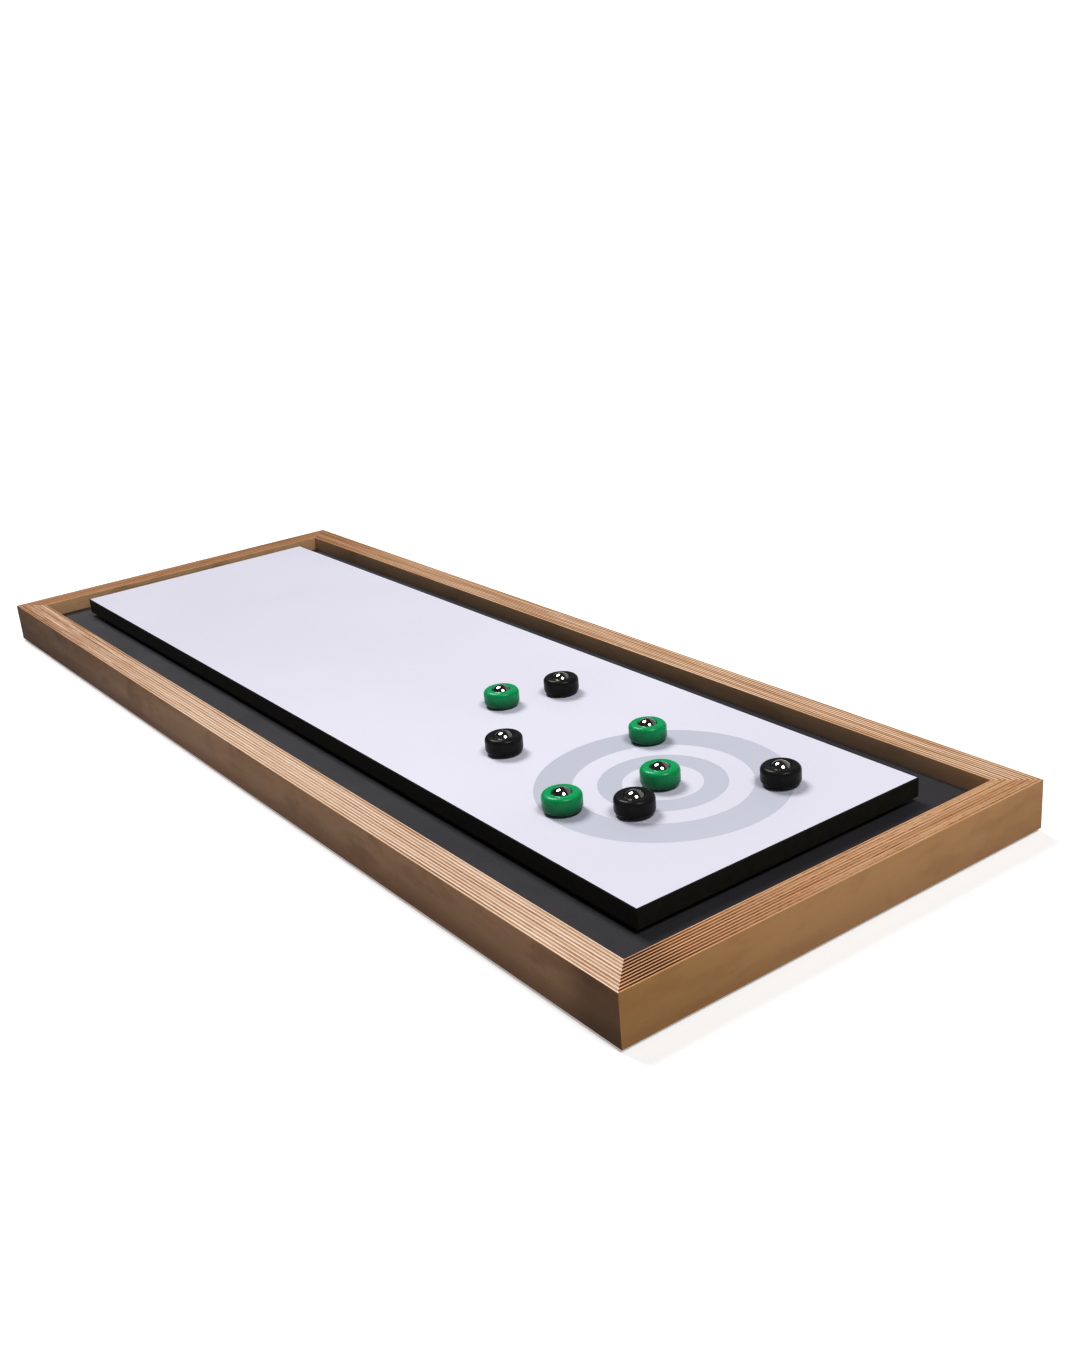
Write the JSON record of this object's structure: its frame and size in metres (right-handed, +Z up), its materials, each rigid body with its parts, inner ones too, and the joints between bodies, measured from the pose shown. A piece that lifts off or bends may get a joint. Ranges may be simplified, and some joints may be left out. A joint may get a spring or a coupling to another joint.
{
  "type": "tabletop shuffleboard",
  "caption": "Tabletop shuffleboard: mitred plywood tray with a gutter round a raised gloss board, a ring target, and ring pucks that roll on steel balls.",
  "frame": {"origin": "on the standing surface, under the middle of the tray", "axes": "+X along the board towards the target, +Y across the board towards the far long rail, +Z up"},
  "size_m": [1.124, 0.414, 0.0662],
  "materials": {
    "birch_plywood": "clear satin lacquer over birch veneers, plies showing on the cut edges",
    "hardwood_spline": "sawn beech, hidden in the mitres",
    "grey_panel": "dark grey fine-textured melamine face",
    "black_batten": "black stained softwood",
    "fibreboard": "bare fibreboard, closed in on all sides",
    "white_laminate": "white high-pressure laminate, polished",
    "backing_laminate": "black balancing laminate",
    "black_edge": "black edge band, satin",
    "target_grey": "cool grey laminate, polished",
    "zinc_screw": "zinc plated",
    "foot_rubber": "moulded rubber",
    "green_plastic": "green moulded plastic, polished",
    "black_plastic": "black moulded plastic, polished",
    "clip_plastic": "black moulded plastic",
    "polished_steel": "mirror polished bearing steel"
  },
  "bodies": {
    "table": {"near_rail": "birch_plywood", "far_rail": "birch_plywood", "start_rail": "birch_plywood", "target_rail": "birch_plywood", "corner_splines": "hardwood_spline", "base_panel": "grey_panel", "near_batten": "black_batten", "far_batten": "black_batten", "start_batten": "black_batten", "middle_batten": "black_batten", "target_batten": "black_batten", "board_core": "fibreboard", "playing_laminate": "white_laminate", "backing_laminate": "backing_laminate", "near_edge_band": "black_edge", "far_edge_band": "black_edge", "start_edge_band": "black_edge", "target_edge_band": "black_edge", "outer_target_ring": "target_grey", "inner_target_ring": "target_grey", "board_screws": "zinc_screw", "rubber_feet": "foot_rubber"},
    "green_puck_1": {"green_puck_1_ring": "green_plastic", "green_puck_1_clip": "clip_plastic"},
    "green_puck_1_roller": {"green_puck_1_ball": "polished_steel"},
    "green_puck_2": {"green_puck_2_ring": "green_plastic", "green_puck_2_clip": "clip_plastic"},
    "green_puck_2_roller": {"green_puck_2_ball": "polished_steel"},
    "green_puck_3": {"green_puck_3_ring": "green_plastic", "green_puck_3_clip": "clip_plastic"},
    "green_puck_3_roller": {"green_puck_3_ball": "polished_steel"},
    "green_puck_4": {"green_puck_4_ring": "green_plastic", "green_puck_4_clip": "clip_plastic"},
    "green_puck_4_roller": {"green_puck_4_ball": "polished_steel"},
    "black_puck_1": {"black_puck_1_ring": "black_plastic", "black_puck_1_clip": "clip_plastic"},
    "black_puck_1_roller": {"black_puck_1_ball": "polished_steel"},
    "black_puck_2": {"black_puck_2_ring": "black_plastic", "black_puck_2_clip": "clip_plastic"},
    "black_puck_2_roller": {"black_puck_2_ball": "polished_steel"},
    "black_puck_3": {"black_puck_3_ring": "black_plastic", "black_puck_3_clip": "clip_plastic"},
    "black_puck_3_roller": {"black_puck_3_ball": "polished_steel"},
    "black_puck_4": {"black_puck_4_ring": "black_plastic", "black_puck_4_clip": "clip_plastic"},
    "black_puck_4_roller": {"black_puck_4_ball": "polished_steel"}
  },
  "joints": [
    {"name": "green_puck_1_glide", "type": "slide", "parent": "table", "child": "green_puck_1", "axis": [1, 0, 0], "range_m": [-0.625, 0.097]},
    {"name": "green_puck_1_roll", "type": "hinge", "parent": "green_puck_1", "child": "green_puck_1_roller", "pos_m": [0.141, 0.006, 0.05667], "axis": [0, 1, 0], "continuous": true},
    {"name": "green_puck_2_glide", "type": "slide", "parent": "table", "child": "green_puck_2", "axis": [1, 0, 0], "range_m": [-0.053, 0.052]},
    {"name": "green_puck_2_roll", "type": "hinge", "parent": "green_puck_2", "child": "green_puck_2_roller", "pos_m": [0.296, 0.045, 0.05667], "axis": [0, 1, 0], "continuous": true},
    {"name": "green_puck_3_glide", "type": "slide", "parent": "table", "child": "green_puck_3", "axis": [1, 0, 0], "range_m": [-0.097, 0.116]},
    {"name": "green_puck_3_roll", "type": "hinge", "parent": "green_puck_3", "child": "green_puck_3_roller", "pos_m": [0.368, -0.004, 0.05667], "axis": [0, 1, 0], "continuous": true},
    {"name": "green_puck_4_glide", "type": "slide", "parent": "table", "child": "green_puck_4", "axis": [1, 0, 0], "range_m": [-0.833, 0.135]},
    {"name": "green_puck_4_roll", "type": "hinge", "parent": "green_puck_4", "child": "green_puck_4_roller", "pos_m": [0.349, -0.085, 0.05667], "axis": [0, 1, 0], "continuous": true},
    {"name": "black_puck_1_glide", "type": "slide", "parent": "table", "child": "black_puck_1", "axis": [1, 0, 0], "range_m": [-0.641, 0.053]},
    {"name": "black_puck_1_roll", "type": "hinge", "parent": "black_puck_1", "child": "black_puck_1_roller", "pos_m": [0.157, 0.061, 0.05667], "axis": [0, 1, 0], "continuous": true},
    {"name": "black_puck_2_glide", "type": "slide", "parent": "table", "child": "black_puck_2", "axis": [1, 0, 0], "range_m": [-0.712, 0.066]},
    {"name": "black_puck_2_roll", "type": "hinge", "parent": "black_puck_2", "child": "black_puck_2_roller", "pos_m": [0.228, -0.053, 0.05667], "axis": [0, 1, 0], "continuous": true},
    {"name": "black_puck_3_glide", "type": "slide", "parent": "table", "child": "black_puck_3", "axis": [1, 0, 0], "range_m": [-0.052, 0.051]},
    {"name": "black_puck_3_roll", "type": "hinge", "parent": "black_puck_3", "child": "black_puck_3_roller", "pos_m": [0.433, 0.061, 0.05667], "axis": [0, 1, 0], "continuous": true},
    {"name": "black_puck_4_glide", "type": "slide", "parent": "table", "child": "black_puck_4", "axis": [1, 0, 0], "range_m": [-0.066, 0.092]},
    {"name": "black_puck_4_roll", "type": "hinge", "parent": "black_puck_4", "child": "black_puck_4_roller", "pos_m": [0.392, -0.05, 0.05667], "axis": [0, 1, 0], "continuous": true}
  ],
  "couplings": [
    {"joint": "green_puck_1_roll", "follows": "green_puck_1_glide", "rad_per_m": 104.99},
    {"joint": "green_puck_2_roll", "follows": "green_puck_2_glide", "rad_per_m": 104.99},
    {"joint": "green_puck_3_roll", "follows": "green_puck_3_glide", "rad_per_m": 104.99},
    {"joint": "green_puck_4_roll", "follows": "green_puck_4_glide", "rad_per_m": 104.99},
    {"joint": "black_puck_1_roll", "follows": "black_puck_1_glide", "rad_per_m": 104.99},
    {"joint": "black_puck_2_roll", "follows": "black_puck_2_glide", "rad_per_m": 104.99},
    {"joint": "black_puck_3_roll", "follows": "black_puck_3_glide", "rad_per_m": 104.99},
    {"joint": "black_puck_4_roll", "follows": "black_puck_4_glide", "rad_per_m": 104.99}
  ]
}
